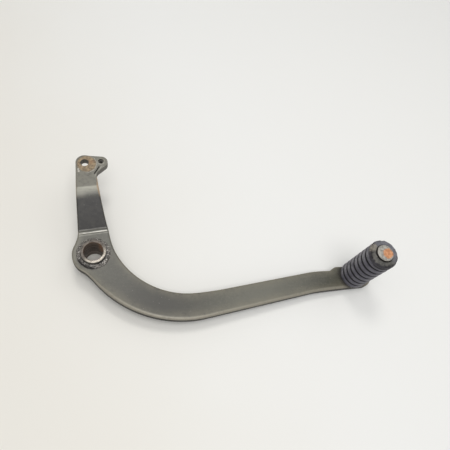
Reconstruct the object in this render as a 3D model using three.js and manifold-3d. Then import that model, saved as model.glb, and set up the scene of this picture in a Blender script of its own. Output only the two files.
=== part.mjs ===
// Motorcycle gear shift lever: a stamped and joggled steel plate, a pivot tube welded
// through it, a link hole at the short end, and a foot peg with a ribbed rubber sleeve.
//
// Units are millimetres. +Z runs along the pivot axis, away from the engine. The origin
// is the centre of the pivot tube's inboard end face, and +X runs along the long arm.

import * as THREE from 'three';
import { mergeVertices } from 'three/addons/utils/BufferGeometryUtils.js';
import Module from 'manifold-3d';

const wasm = await Module();
wasm.setup();

// ---- Driving dimensions ------------------------------------------------------------

const QUARTER = Math.PI / 2;
const DEGREE = Math.PI / 180;
const GAP = 0.3; // clearance between pieces that touch on the real lever
const ARC_STEPS = 14; // facets per curve on outlines
const ROUND_STEPS = 48; // facets round a turned piece

const PLATE_THICKNESS = 6;
const PLATE_TOP = 19.5; // outboard face of the arm

const TUBE_LENGTH = 24.5;
const TUBE_RADIUS = 9;
const BORE_RADIUS = 7;
const TUBE_CHAMFER = 0.5;

const NECK_TURN = DEGREE * 13.8; // neck direction, turned from +Y to -X
const JOGGLE_RISE = 15; // head stands this far outboard of the arm
const JOGGLE_SLOPE = DEGREE * 29;
const JOGGLE_START = 17.3; // distance from the pivot to the lower bend line
const LOWER_BEND_RADIUS = 3; // on the outboard face
const UPPER_BEND_RADIUS = 15; // on the outboard face
const SHEET_SIZE = 600; // joggled sheet that the outline is cut from
const BLANK_DEPTH = 60; // outline's depth before it meets the sheet

const LOBE = { x: 0, y: 0, radius: 15.2 }; // round of the plate about the pivot
const BELLY = { x: 62.7, y: 38.4, radius: 84.2 }; // outer sweep of the arm
const THROAT = { x: 66.3, y: 34.4, radius: 60.2 }; // inner sweep of the arm
const PAD = { x: 211.8, y: -2.7, radius: 8.5 }; // round end that carries the peg
const ARM_OUTER_RISE = DEGREE * 15.9; // outer edge after the sweep
const ARM_INNER_RISE = DEGREE * 14.5; // inner edge after the sweep
const THROAT_LEAVES = DEGREE * 8; // inner sweep's slope where it runs out
const THROAT_ENDS = -DEGREE * 148; // inner sweep's end at the neck
const LOBE_STARTS = DEGREE * 159;
const LOBE_ENDS = DEGREE * 246;
const BELLY_STARTS = -DEGREE * 136;
const PAD_FOOT_ANGLE = -DEGREE * 81;
const PAD_TOP_ANGLE = DEGREE * 95;

const LINK_HOLE = { x: -14, y: 67.1, radius: 3 };
const HEAD_CORNER = { x: -14, y: 67.1, radius: 6.6 };
const HEAD_FLAT = 4; // level stretch of the head's end edge, from the corner
const EAR = { x: -2, y: 69.5, radius: 4.7, wrap: DEGREE * 40, top: DEGREE * 83 };
const EAR_HOLE = { x: -2.3, y: 69.9, radius: 1.4 };
const EAR_POCKET = { radius: 2.05, depth: 1.5, steps: 28 }; // wide mouth of the ear's hole
const EAR_GROOVE = { x: -4.3, y: 61.7, length: 7.6, width: 0.9, depth: 1.6, turn: DEGREE * 68 };

const PEG = { x: 204.8, y: -2.3 };
const PIN_TAIL_RADIUS = 4;
const PIN_SHANK_RADIUS = 5.5;
const PIN_HEAD_RADIUS = 6.3;
const PIN_HEAD_THICKNESS = 2.6;
const PIN_HEAD_BEVEL = 0.7;
const PIN_STANDS = 50.7; // pin head's face above the plate

const SLEEVE_LENGTH = 49.7;
const SLEEVE_RADIUS = 11.2;
const SLEEVE_END_ROUND = 4;
const SLEEVE_FOOT_RADIUS = 11; // the first rib draws in against the plate
const SLEEVE_FOOT_RISE = 1.6;
const SLEEVE_STEPS = 40; // facets round the sleeve
const SLEEVE_END_STEPS = 4; // facets along the rounded end
const GROOVE_COUNT = 7;
const GROOVE_FIRST = 5; // first groove above the plate
const GROOVE_PITCH = 6;
const GROOVE_WIDTH = 1.6;
const GROOVE_DEPTH = 1.4;
const GROOVE_FLOOR = 0.4; // flat share of a groove's width
const RIB_CROWN = 0.4; // how far a rib falls away from its middle to its edge

const WELD_LEG = 2.9; // how far a pivot weld reaches from the tube
const WELD_HEIGHT = 2.2;
const WELD_CROWN = 0.8; // below 1, the bead bulges past a quarter circle
const WELD_STEPS = 6; // facets across a bead
const PEG_WELD_RADIUS = 7;
const PEG_WELD_HEIGHT = 1.8;

// ---- Materials ---------------------------------------------------------------------

function paintedSteel() {
  return new THREE.MeshStandardMaterial({ color: 0x63645c, roughness: 0.45, metalness: 0.35 });
}

function wornSteel() {
  return new THREE.MeshStandardMaterial({ color: 0x8d8274, roughness: 0.5, metalness: 0.8 });
}

function weldMetal() {
  return new THREE.MeshStandardMaterial({ color: 0x57544f, roughness: 0.6, metalness: 0.4 });
}

function sleeveRubber() {
  return new THREE.MeshStandardMaterial({ color: 0x3b393e, roughness: 0.75, metalness: 0 });
}

// ---- Solids ------------------------------------------------------------------------

function toSolid(geometry) {
  const bare = geometry.index ? geometry.toNonIndexed() : geometry.clone();
  bare.deleteAttribute('normal');
  bare.deleteAttribute('uv');
  const merged = mergeVertices(bare, 1e-4);
  const vertProperties = new Float32Array(merged.attributes.position.array);
  const triVerts = new Uint32Array(merged.index.array);
  return new wasm.Manifold(new wasm.Mesh({ numProp: 3, vertProperties, triVerts }));
}

function toGeometry(solid) {
  const mesh = solid.getMesh();
  const geometry = new THREE.BufferGeometry();
  geometry.setAttribute('position', new THREE.BufferAttribute(mesh.vertProperties, 3));
  geometry.setIndex(new THREE.BufferAttribute(mesh.triVerts, 1));
  geometry.computeVertexNormals();
  return geometry;
}

function extrude(shape, depth) {
  const options = { depth, bevelEnabled: false, curveSegments: ARC_STEPS };
  return new THREE.ExtrudeGeometry(shape, options);
}

// Turns a profile of (radius, height) points about +Z. The profile climbs on its
// outside, so that faces point outwards.
function turn(profile, steps = ROUND_STEPS) {
  const points = profile.map(([radius, height]) => new THREE.Vector2(radius, height));
  return new THREE.LatheGeometry(points, steps).rotateX(QUARTER);
}

function arcPoints(x, y, radius, from, to, steps) {
  const points = [];
  for (let i = 0; i <= steps; i += 1) {
    const angle = THREE.MathUtils.lerp(from, to, i / steps);
    points.push([x + radius * Math.cos(angle), y + radius * Math.sin(angle)]);
  }
  return points;
}

function onCircle(circle, angle) {
  const x = circle.x + circle.radius * Math.cos(angle);
  const y = circle.y + circle.radius * Math.sin(angle);
  return new THREE.Vector2(x, y);
}

function roundHole(circle) {
  const path = new THREE.Path();
  path.absarc(circle.x, circle.y, circle.radius, 0, Math.PI * 2, true);
  return path;
}

// ---- Lever plate -------------------------------------------------------------------

// The edge on the throat side: round the pad, back along the arm and round its sweep.
function traceThroatSide(shape) {
  const sweepEnd = onCircle(THROAT, THROAT_LEAVES - QUARTER);
  const slope = Math.tan(ARM_INNER_RISE);
  const straight = { start: 101.6, end: 166, y: -2.9 };
  const shoulder = { foot: [183.5, -0.2], top: [191.5, 3.8] };

  shape.absarc(PAD.x, PAD.y, PAD.radius, PAD_FOOT_ANGLE, PAD_TOP_ANGLE, false);
  shape.lineTo(...shoulder.top);
  shape.bezierCurveTo(187.5, 3.4, 187, 0, ...shoulder.foot);
  shape.quadraticCurveTo(173, -1.1, straight.end, straight.y);
  shape.lineTo(straight.start, straight.y - (straight.end - straight.start) * slope);
  shape.quadraticCurveTo(86.2, -23.6, sweepEnd.x, sweepEnd.y);
  shape.absarc(THROAT.x, THROAT.y, THROAT.radius, THROAT_LEAVES - QUARTER, THROAT_ENDS, true);
}

// The neck's right edge, the ear, and the head's rounded corner.
function traceNeckAndHead(shape) {
  const neckFoot = [8.7, 18.9];
  const neckTop = [-4, 57.5];
  const earFoot = onCircle(EAR, -EAR.wrap);

  shape.quadraticCurveTo(11.2, 9.6, ...neckFoot);
  shape.quadraticCurveTo(1.3, 36.9, ...neckTop);
  shape.quadraticCurveTo(-4.3, 59.6, -2.9, 61.3);
  shape.lineTo(earFoot.x, earFoot.y);
  shape.absarc(EAR.x, EAR.y, EAR.radius, -EAR.wrap, EAR.top, false);
  shape.lineTo(HEAD_CORNER.x + HEAD_FLAT, HEAD_CORNER.y + HEAD_CORNER.radius);
  shape.lineTo(HEAD_CORNER.x, HEAD_CORNER.y + HEAD_CORNER.radius);
  shape.absarc(HEAD_CORNER.x, HEAD_CORNER.y, HEAD_CORNER.radius, QUARTER, Math.PI, false);
}

// The neck's left edge, the lobe round the pivot, and the belly of the arm.
function traceBellySide(shape) {
  const lobeStart = onCircle(LOBE, LOBE_STARTS);
  const padFoot = onCircle(PAD, PAD_FOOT_ANGLE);
  const straightStart = onCircle(BELLY, ARM_OUTER_RISE - QUARTER);
  const straightEnd = 168;
  const run = straightEnd - straightStart.x;

  shape.lineTo(-13.4, 17.5);
  shape.bezierCurveTo(-12.6, 12.5, -13.2, 9.6, lobeStart.x, lobeStart.y);
  shape.absarc(LOBE.x, LOBE.y, LOBE.radius, LOBE_STARTS, LOBE_ENDS, false);
  shape.quadraticCurveTo(-3.2, -15.2, 0.4, -18.6);
  shape.absarc(BELLY.x, BELLY.y, BELLY.radius, BELLY_STARTS, ARM_OUTER_RISE - QUARTER, false);
  shape.lineTo(straightEnd, straightStart.y + run * Math.tan(ARM_OUTER_RISE));
  shape.quadraticCurveTo(175.8, -16.9, padFoot.x, padFoot.y);
}

// The plate's outline seen along the pivot axis, anticlockwise from the foot of the pad.
function plateOutline() {
  const shape = new THREE.Shape();
  const start = onCircle(PAD, PAD_FOOT_ANGLE);
  shape.moveTo(start.x, start.y);
  traceThroatSide(shape);
  traceNeckAndHead(shape);
  traceBellySide(shape);
  return shape;
}

// The plate's section along the neck: distance from the pivot against height.
function joggleSection() {
  const reach = SHEET_SIZE / 2;
  const half = JOGGLE_SLOPE / 2;
  const top = PLATE_TOP;
  const headTop = top + JOGGLE_RISE;
  const t = PLATE_THICKNESS;
  const lowX = JOGGLE_START - LOWER_BEND_RADIUS * Math.tan(half);
  const upperBendLine = JOGGLE_START + JOGGLE_RISE / Math.tan(JOGGLE_SLOPE);
  const highX = upperBendLine + UPPER_BEND_RADIUS * Math.tan(half);
  const lowY = top + LOWER_BEND_RADIUS;
  const highY = headTop - UPPER_BEND_RADIUS;

  const shape = new THREE.Shape();
  shape.moveTo(-reach, top - t);
  shape.absarc(lowX, lowY, LOWER_BEND_RADIUS + t, -QUARTER, JOGGLE_SLOPE - QUARTER, false);
  shape.absarc(highX, highY, UPPER_BEND_RADIUS - t, QUARTER + JOGGLE_SLOPE, QUARTER, true);
  shape.lineTo(reach, headTop - t);
  shape.lineTo(reach, headTop);
  shape.absarc(highX, highY, UPPER_BEND_RADIUS, QUARTER, QUARTER + JOGGLE_SLOPE, false);
  shape.absarc(lowX, lowY, LOWER_BEND_RADIUS, JOGGLE_SLOPE - QUARTER, -QUARTER, true);
  shape.lineTo(-reach, top);
  return shape;
}

function leverPlate() {
  const outline = plateOutline();
  outline.holes.push(roundHole({ x: 0, y: 0, radius: TUBE_RADIUS + GAP }));
  outline.holes.push(roundHole({ x: PEG.x, y: PEG.y, radius: PIN_TAIL_RADIUS + GAP }));
  outline.holes.push(roundHole(LINK_HOLE));
  outline.holes.push(roundHole(EAR_HOLE));
  const blank = extrude(outline, BLANK_DEPTH);

  const sheet = extrude(joggleSection(), SHEET_SIZE);
  sheet.translate(0, 0, -SHEET_SIZE / 2);
  sheet.rotateX(QUARTER);
  sheet.rotateZ(QUARTER + NECK_TURN);

  const groove = new THREE.BoxGeometry(EAR_GROOVE.length, EAR_GROOVE.width, EAR_GROOVE.depth * 2);
  groove.rotateZ(EAR_GROOVE.turn);
  groove.translate(EAR_GROOVE.x, EAR_GROOVE.y, PLATE_TOP + JOGGLE_RISE);

  const { radius, depth, steps } = EAR_POCKET;
  const pocket = new THREE.CylinderGeometry(radius, radius, depth * 2, steps);
  pocket.rotateX(QUARTER);
  pocket.translate(EAR_HOLE.x, EAR_HOLE.y, PLATE_TOP + JOGGLE_RISE);

  const joggled = toSolid(blank).intersect(toSolid(sheet));
  const plate = joggled.subtract(toSolid(groove)).subtract(toSolid(pocket));
  const mesh = new THREE.Mesh(toGeometry(plate), paintedSteel());
  mesh.name = 'lever_plate';
  return mesh;
}

// ---- Pivot tube and its welds ------------------------------------------------------

function pivotTube() {
  const c = TUBE_CHAMFER;
  const profile = [
    [BORE_RADIUS + c, 0],
    [TUBE_RADIUS - c, 0],
    [TUBE_RADIUS, c],
    [TUBE_RADIUS, TUBE_LENGTH - c],
    [TUBE_RADIUS - c, TUBE_LENGTH],
    [BORE_RADIUS + c, TUBE_LENGTH],
    [BORE_RADIUS, TUBE_LENGTH - c],
    [BORE_RADIUS, c],
    [BORE_RADIUS + c, 0],
  ];
  const mesh = new THREE.Mesh(turn(profile), wornSteel());
  mesh.name = 'pivot_tube';
  return mesh;
}

// A fillet weld round the tube, with its foot at height 0 and its crown bulging out.
function filletWeld(name) {
  const inner = TUBE_RADIUS + GAP;
  const profile = [[inner, 0]];
  for (let i = 0; i <= WELD_STEPS; i += 1) {
    const angle = (i / WELD_STEPS) * QUARTER;
    const radius = TUBE_RADIUS + WELD_LEG * Math.cos(angle) ** WELD_CROWN;
    profile.push([Math.max(radius, inner), WELD_HEIGHT * Math.sin(angle) ** WELD_CROWN]);
  }
  profile.push([inner, 0]);
  const mesh = new THREE.Mesh(turn(profile), weldMetal());
  mesh.name = name;
  return mesh;
}

function outerPivotWeld() {
  const weld = filletWeld('pivot_weld_outer');
  weld.position.z = PLATE_TOP + GAP;
  return weld;
}

function innerPivotWeld() {
  const weld = filletWeld('pivot_weld_inner');
  weld.rotation.x = Math.PI;
  weld.position.z = PLATE_TOP - PLATE_THICKNESS - GAP;
  return weld;
}

// ---- Foot peg ----------------------------------------------------------------------

// Heights on the peg are measured from the plate's outboard face.
function pegPin() {
  const headFoot = PIN_STANDS - PIN_HEAD_THICKNESS;
  const profile = [
    [0, -PLATE_THICKNESS],
    [PIN_TAIL_RADIUS, -PLATE_THICKNESS],
    [PIN_TAIL_RADIUS, GAP],
    [PIN_SHANK_RADIUS, GAP],
    [PIN_SHANK_RADIUS, headFoot],
    [PIN_HEAD_RADIUS, headFoot],
    [PIN_HEAD_RADIUS, PIN_STANDS - PIN_HEAD_BEVEL],
    [PIN_HEAD_RADIUS - PIN_HEAD_BEVEL, PIN_STANDS],
    [0, PIN_STANDS],
  ];
  const mesh = new THREE.Mesh(turn(profile), wornSteel());
  mesh.name = 'peg_pin';
  return mesh;
}

function pegWeld() {
  const top = -PLATE_THICKNESS - GAP;
  const profile = [[0, top - PEG_WELD_HEIGHT]];
  for (let i = 1; i <= WELD_STEPS; i += 1) {
    const angle = (i / WELD_STEPS) * QUARTER;
    profile.push([PEG_WELD_RADIUS * Math.sin(angle), top - PEG_WELD_HEIGHT * Math.cos(angle)]);
  }
  profile.push([0, top]);
  const mesh = new THREE.Mesh(turn(profile), weldMetal());
  mesh.name = 'peg_weld';
  return mesh;
}

// One rib's crown and the groove above it, from the groove below at height start.
function ribPoints(start, end) {
  const foot = GROOVE_WIDTH / 2;
  const crown = (end - start) / 2 - foot;
  const middle = (start + end) / 2;
  const points = [];
  for (const share of [-1, -0.5, 0.5, 1]) {
    points.push([SLEEVE_RADIUS - RIB_CROWN * share * share, middle + crown * share]);
  }
  points.push([SLEEVE_RADIUS - GROOVE_DEPTH, end - foot * GROOVE_FLOOR]);
  points.push([SLEEVE_RADIUS - GROOVE_DEPTH, end + foot * GROOVE_FLOOR]);
  return points;
}

function pegSleeve() {
  const bore = PIN_SHANK_RADIUS + GAP;
  const recess = PIN_HEAD_RADIUS + GAP;
  const recessFoot = PIN_STANDS - PIN_HEAD_THICKNESS - GAP;
  const foot = GROOVE_WIDTH / 2;
  const lastGroove = GROOVE_FIRST + (GROOVE_COUNT - 1) * GROOVE_PITCH;
  const round = SLEEVE_END_ROUND;

  const profile = [[bore, GAP], [SLEEVE_FOOT_RADIUS, GAP]];
  profile.push([SLEEVE_RADIUS, SLEEVE_FOOT_RISE]);
  profile.push([SLEEVE_RADIUS, GROOVE_FIRST - foot]);
  profile.push([SLEEVE_RADIUS - GROOVE_DEPTH, GROOVE_FIRST - foot * GROOVE_FLOOR]);
  profile.push([SLEEVE_RADIUS - GROOVE_DEPTH, GROOVE_FIRST + foot * GROOVE_FLOOR]);
  for (let i = 1; i < GROOVE_COUNT; i += 1) {
    const start = GROOVE_FIRST + (i - 1) * GROOVE_PITCH;
    profile.push(...ribPoints(start, start + GROOVE_PITCH));
  }
  profile.push([SLEEVE_RADIUS, lastGroove + foot]);
  const endX = SLEEVE_RADIUS - round;
  profile.push(...arcPoints(endX, SLEEVE_LENGTH - round, round, 0, QUARTER, SLEEVE_END_STEPS));
  profile.push([recess, SLEEVE_LENGTH]);
  profile.push([recess, recessFoot]);
  profile.push([bore, recessFoot]);
  profile.push([bore, GAP]);

  const mesh = new THREE.Mesh(turn(profile, SLEEVE_STEPS), sleeveRubber());
  mesh.name = 'peg_sleeve';
  return mesh;
}

function footPeg() {
  const group = new THREE.Group();
  group.add(pegPin(), pegWeld(), pegSleeve());
  group.position.set(PEG.x, PEG.y, PLATE_TOP);
  return group;
}

// ---- Whole lever -------------------------------------------------------------------

const lever = new THREE.Group();
lever.add(leverPlate(), pivotTube(), outerPivotWeld(), innerPivotWeld(), footPeg());

export default lever;
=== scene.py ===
"""Looks of a motorcycle gear shift lever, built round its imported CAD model.

The lever lies on a pale table with its foot peg standing up. Every visible piece is a
finer mesh that stands for one CAD node and takes its place and main sizes from it.
Lengths are in mm, which MM turns into metres, except where the lights and table stand.
"""

import math

import bmesh
import bpy
import numpy as np
from mathutils import Matrix, Vector, geometry, noise


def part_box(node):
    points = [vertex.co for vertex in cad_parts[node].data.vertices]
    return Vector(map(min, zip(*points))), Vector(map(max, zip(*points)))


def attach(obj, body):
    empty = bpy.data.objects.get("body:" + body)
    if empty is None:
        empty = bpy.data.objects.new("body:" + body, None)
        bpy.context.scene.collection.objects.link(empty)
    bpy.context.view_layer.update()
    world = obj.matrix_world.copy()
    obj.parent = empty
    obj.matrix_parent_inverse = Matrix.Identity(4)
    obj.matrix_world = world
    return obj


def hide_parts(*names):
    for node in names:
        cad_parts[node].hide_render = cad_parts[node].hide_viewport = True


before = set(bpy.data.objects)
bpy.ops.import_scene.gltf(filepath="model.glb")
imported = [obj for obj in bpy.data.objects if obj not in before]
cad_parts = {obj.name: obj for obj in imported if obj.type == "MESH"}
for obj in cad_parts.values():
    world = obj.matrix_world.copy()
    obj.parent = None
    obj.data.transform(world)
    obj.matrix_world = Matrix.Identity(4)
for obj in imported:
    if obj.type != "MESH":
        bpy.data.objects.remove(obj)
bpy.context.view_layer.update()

MM = 0.001
TURN = 2 * math.pi


def cad_box_mm(node):
    low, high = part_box(node)
    return low / MM, high / MM


# ---- Sizes from the frame ----

TUBE_HIGH = cad_box_mm("pivot_tube")[1]
SLEEVE_LOW, SLEEVE_HIGH = cad_box_mm("peg_sleeve")
PIN_LOW, PIN_HIGH = cad_box_mm("peg_pin")
PLATE_LOW, PLATE_HIGH = cad_box_mm("lever_plate")

GAP = 0.3
PLATE_TOP = SLEEVE_LOW.z - GAP
PLATE_BACK = PLATE_LOW.z
HEAD_TOP = PLATE_HIGH.z
TUBE_RADIUS = TUBE_HIGH.x
TUBE_LENGTH = TUBE_HIGH.z
BORE_RADIUS = 7.0
PIVOT = Vector((0, 0, 0))
PEG = (SLEEVE_LOW + SLEEVE_HIGH) / 2
SLEEVE_RADIUS = (SLEEVE_HIGH.x - SLEEVE_LOW.x) / 2
PIN_HEAD_RADIUS = (PIN_HIGH.x - PIN_LOW.x) / 2

# ---- The joggle's section, along the neck ----

NECK_TURN = math.radians(13.8)
NECK = Vector((-math.sin(NECK_TURN), math.cos(NECK_TURN)))
ACROSS = Vector((math.cos(NECK_TURN), math.sin(NECK_TURN)))
SLOPE = math.radians(29)
JOGGLE_START = 17.3
LOWER_BEND = 3.0
UPPER_BEND = 15.0
THICKNESS = PLATE_TOP - PLATE_BACK
RISE = HEAD_TOP - PLATE_TOP
LOWER_X = JOGGLE_START - LOWER_BEND * math.tan(SLOPE / 2)
UPPER_X = JOGGLE_START + RISE / math.tan(SLOPE) + UPPER_BEND * math.tan(SLOPE / 2)


def bent_height(s, lower_radius, upper_radius, base):
    """Height of a bent sheet's surface at s along the neck, with base as its low level."""
    low_end = LOWER_X + lower_radius * math.sin(SLOPE)
    high_start = UPPER_X - upper_radius * math.sin(SLOPE)
    if s <= LOWER_X:
        return base
    if s < low_end:
        return base + lower_radius - math.sqrt(lower_radius**2 - (s - LOWER_X) ** 2)
    if s < high_start:
        start = base + lower_radius * (1 - math.cos(SLOPE))
        return start + (s - low_end) * math.tan(SLOPE)
    if s < UPPER_X:
        return base + RISE - upper_radius + math.sqrt(upper_radius**2 - (s - UPPER_X) ** 2)
    return base + RISE


def along_neck(x, y):
    return NECK.x * x + NECK.y * y


def wave(x, y, z, size, seed=0.0):
    """Smooth noise from -1 to 1, with features about size across."""
    return noise.noise(Vector((x / size + seed, y / size - seed, z / size + 2.7 * seed)))


CREASE_AT = 15.6  # second line that the press leaves beside the lower bend
CREASE_WIDTH = 0.42
CREASE_HEIGHT = 0.16


def top_height(x, y):
    s = along_neck(x, y)
    crease = CREASE_HEIGHT * math.exp(-(((s - CREASE_AT) / CREASE_WIDTH) ** 2))
    dents = 0.05 * wave(x, y, 0, 19, 1.3) + 0.02 * wave(x, y, 0, 6, 4.1)
    return bent_height(s, LOWER_BEND, UPPER_BEND, PLATE_TOP) + crease + dents


def back_height(x, y):
    s = along_neck(x, y)
    lower = LOWER_BEND + THICKNESS
    upper = UPPER_BEND - THICKNESS
    return bent_height(s, lower, upper, PLATE_BACK) + 0.04 * wave(x, y, 0, 17, 8.2)


# ---- Mesh helpers ----


def new_object(name, data):
    made = bpy.data.objects.new(name, data)
    bpy.context.scene.collection.objects.link(made)
    return made


def make_piece(name, shape, material, replaced, rims=None):
    """A smooth-shaded mesh from (vertices in mm, faces). It rides on the lever's one body."""
    vertices, faces = shape
    mesh = bpy.data.meshes.new(name)
    mesh.from_pydata([Vector(v) * MM for v in vertices], [], faces)
    if rims:
        layer = mesh.attributes.new("rim_mm", "FLOAT", "POINT")
        layer.data.foreach_set("value", np.array(rims, np.float32))
    bm = bmesh.new()
    bm.from_mesh(mesh)
    bmesh.ops.remove_doubles(bm, verts=bm.verts, dist=1e-6)
    bmesh.ops.recalc_face_normals(bm, faces=bm.faces)
    bm.to_mesh(mesh)
    bm.free()
    mesh.shade_smooth()
    piece = new_object(name, mesh)
    mesh.materials.append(material)
    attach(piece, "root")
    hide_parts(replaced)
    return piece


def pairs(loop):
    """Each item of a loop with the next."""
    return zip(loop, loop[1:] + loop[:1])


def polar(radius, angle):
    """The x and y of a point at an angle and distance from the Z axis."""
    return radius * math.cos(angle), radius * math.sin(angle)


def turned_points(rows, steps, centre, place):
    """Rows of (radius, height) turned about Z: place(radius, height, angle) moves each."""
    points = []
    for i in range(steps):
        angle = TURN * i / steps
        for radius, height in rows:
            r, z = place(radius, height, angle)
            x, y = polar(r, angle)
            points.append((centre.x + x, centre.y + y, z))
    return points


def turned(rows, steps, centre, place):
    """Vertices and faces of a turned body whose section is closed."""
    vertices = turned_points(rows, steps, centre, place)
    faces = []
    count = len(rows)
    for i in range(steps):
        ahead = (i + 1) % steps
        for j in range(count):
            k = (j + 1) % count
            faces.append((i * count + j, ahead * count + j, ahead * count + k, i * count + k))
    return vertices, faces


def capped_turn(rows, steps, centre, place):
    """Like turned, for a section that starts and ends on the axis."""
    vertices = [(centre.x, centre.y, rows[0][1])]
    vertices += turned_points(rows[1:-1], steps, centre, place)
    top = len(vertices)
    vertices.append((centre.x, centre.y, rows[-1][1]))
    faces = []
    count = len(rows) - 2
    for i in range(steps):
        a = 1 + i * count
        b = 1 + (i + 1) % steps * count
        faces.append((0, b, a))
        for j in range(count - 1):
            faces.append((a + j, b + j, b + j + 1, a + j + 1))
        faces.append((a + count - 1, b + count - 1, top))
    return vertices, faces


def fine_section(points, spacing):
    """A closed section with points no further apart than spacing."""
    rows = []
    for (r0, z0), (r1, z1) in pairs(points):
        steps = max(1, math.ceil(math.hypot(r1 - r0, z1 - z0) / spacing))
        for k in range(steps):
            rows.append((r0 + (r1 - r0) * k / steps, z0 + (z1 - z0) * k / steps))
    return rows


def arc(x, z, radius, start, end, steps):
    points = []
    for i in range(steps + 1):
        angle = math.radians(start + (end - start) * i / steps)
        points.append((x + radius * math.cos(angle), z + radius * math.sin(angle)))
    return points


def smooth_step(low, high, value):
    t = min(max((value - low) / (high - low), 0.0), 1.0)
    return t * t * (3 - 2 * t)


# ---- Outline of the plate, read from the CAD node ----


def cad_loops(node):
    """Closed loops of (x, y), in mm, round the faces of a CAD node that look up."""
    bm = bmesh.new()
    bm.from_mesh(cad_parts[node].data)
    bmesh.ops.remove_doubles(bm, verts=bm.verts, dist=1e-6)
    bm.normal_update()
    facing = {f for f in bm.faces if f.normal.z > 0.3}
    links = {}
    for edge in bm.edges:
        if sum(f in facing for f in edge.link_faces) == 1:
            a, b = edge.verts
            links.setdefault(a, []).append(b)
            links.setdefault(b, []).append(a)
    loops = []
    while links:
        start = min(links, key=lambda v: v.index)
        loop = [start]
        while True:
            options = [v for v in links[loop[-1]] if v in links and v not in loop[-2:]]
            options = [v for v in options if v is not start or len(loop) > 2]
            if not options or options[0] is start:
                break
            loop.append(options[0])
        for v in loop:
            links.pop(v, None)
        loops.append([Vector((v.co.x / MM, v.co.y / MM)) for v in loop])
    bm.free()
    return loops


def loop_length(loop):
    return sum((b - a).length for a, b in pairs(loop))


def anticlockwise(loop):
    """The same loop, turned round if it runs clockwise."""
    area = sum(a.x * b.y - a.y * b.x for a, b in pairs(loop))
    return loop[::-1] if area < 0 else loop


def guard_straights(loop, longest=12.0, step=3.0):
    """Adds a point near each end of a long straight, so that smoothing leaves it straight."""
    points = []
    for a, b in pairs(loop):
        points.append(a)
        if (b - a).length > longest:
            along = (b - a).normalized() * step
            points += [a + along, b - along]
    return points


def smoothed(loop, spacing):
    """A centripetal Catmull-Rom curve through a closed loop, at about even spacing."""
    points = guard_straights(loop)
    count = len(points)
    result = []
    for i in range(count):
        p0, p1, p2, p3 = (points[(i + k) % count] for k in (-1, 0, 1, 2))
        gaps = (p1 - p0, p2 - p1, p3 - p2)
        t0, t1, t2 = (max(math.sqrt(gap.length), 1e-3) for gap in gaps)
        start = ((p1 - p0) / t0 - (p2 - p0) / (t0 + t1) + (p2 - p1) / t1) * t1
        end = ((p2 - p1) / t1 - (p3 - p1) / (t1 + t2) + (p3 - p2) / t2) * t1
        steps = max(1, round((p2 - p1).length / spacing))
        for k in range(steps):
            t = k / steps
            value = p1 * (2 * t**3 - 3 * t**2 + 1) + start * (t**3 - 2 * t**2 + t)
            result.append(value + p2 * (3 * t**2 - 2 * t**3) + end * (t**3 - t**2))
    return result


def inward_normals(loop, spread=2):
    """Unit normals that point into an anticlockwise loop, averaged over near points."""
    count = len(loop)
    normals = []
    for i in range(count):
        tangent = loop[(i + spread) % count] - loop[(i - spread) % count]
        normals.append(Vector((-tangent.y, tangent.x)).normalized())
    return normals


def round_holes(loops):
    """Centre, mouth radius and narrowest radius of each hole whose loops are circles."""
    holes = []
    for loop in loops:
        centre = sum(loop, Vector((0, 0))) / len(loop)
        reach = [(p - centre).length for p in loop]
        if len(loop) < 5 or max(reach) - min(reach) > 0.03 * max(reach):
            continue
        radius = max(reach)
        same = [hole for hole in holes if (hole[0] - centre).length < 0.5]
        if same:
            same[0][1] = max(same[0][1], radius)
            same[0][2] = min(same[0][2], radius)
        else:
            holes.append([centre, radius, radius])
    return holes


def rounded_slot(corners, inset, steps=9):
    """The outline of a round-ended slot, a little inside a rectangle of four corners."""
    sides = [b - a for a, b in pairs(corners)]
    along = max(sides, key=lambda side: side.length)
    width = min(side.length for side in sides)
    centre = sum(corners, Vector((0, 0))) / 4
    radius = width / 2 - inset
    ahead = along.normalized()
    across = Vector((-ahead.y, ahead.x))
    reach = (along.length - width) / 2
    count = max(2, round(2 * reach / 0.35))
    points = []
    for sign in (1, -1):
        for i in range(steps):
            angle = math.pi * (i / (steps - 1) - 0.5)
            turn = math.cos(angle) * ahead + math.sin(angle) * across
            points.append(centre + sign * (ahead * reach + turn * radius))
        for k in range(1, count):
            along_side = reach * (1 - 2 * k / count)
            points.append(centre + sign * (ahead * along_side + across * radius))
    return points


def inside(points, loop):
    """Which of the points, an array of (x, y), lie inside a loop."""
    a = np.array([(p.x, p.y) for p in loop])
    b = np.roll(a, -1, axis=0)
    found = np.zeros(len(points), bool)
    for (x0, y0), (x1, y1) in zip(a, b):
        if y0 != y1:
            crosses = (points[:, 1] < y0) != (points[:, 1] < y1)
            at = x0 + (points[:, 1] - y0) * (x1 - x0) / (y1 - y0)
            found ^= crosses & (points[:, 0] < at)
    return found


def between(points, loops):
    """Which of the points lie inside the first loop and outside the others."""
    found = inside(points, loops[0])
    for loop in loops[1:]:
        found &= ~inside(points, loop)
    return found


def grid_points():
    """Points that cover the plate in rows across the neck, close together at its bends."""
    bands = ((-62, 12, 3.0), (12, 20, 0.35), (20, 39, 1.6), (39, 50, 0.6), (50, 82, 2.4))
    points = []
    for s in np.concatenate([np.arange(*band) for band in bands]):
        for u in np.arange(-30, 226, 2.4):
            points.append((NECK.x * s + ACROSS.x * u, NECK.y * s + ACROSS.y * u))
    return np.array(points)


def distance_to(points, loops):
    """Each point's distance to the nearest point of the loops."""
    targets = np.array([(p.x, p.y) for loop in loops for p in loop])
    near = [np.sqrt(((targets - p) ** 2).sum(axis=1).min()) for p in points]
    return np.array(near)


# ---- Lever plate ----

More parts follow.
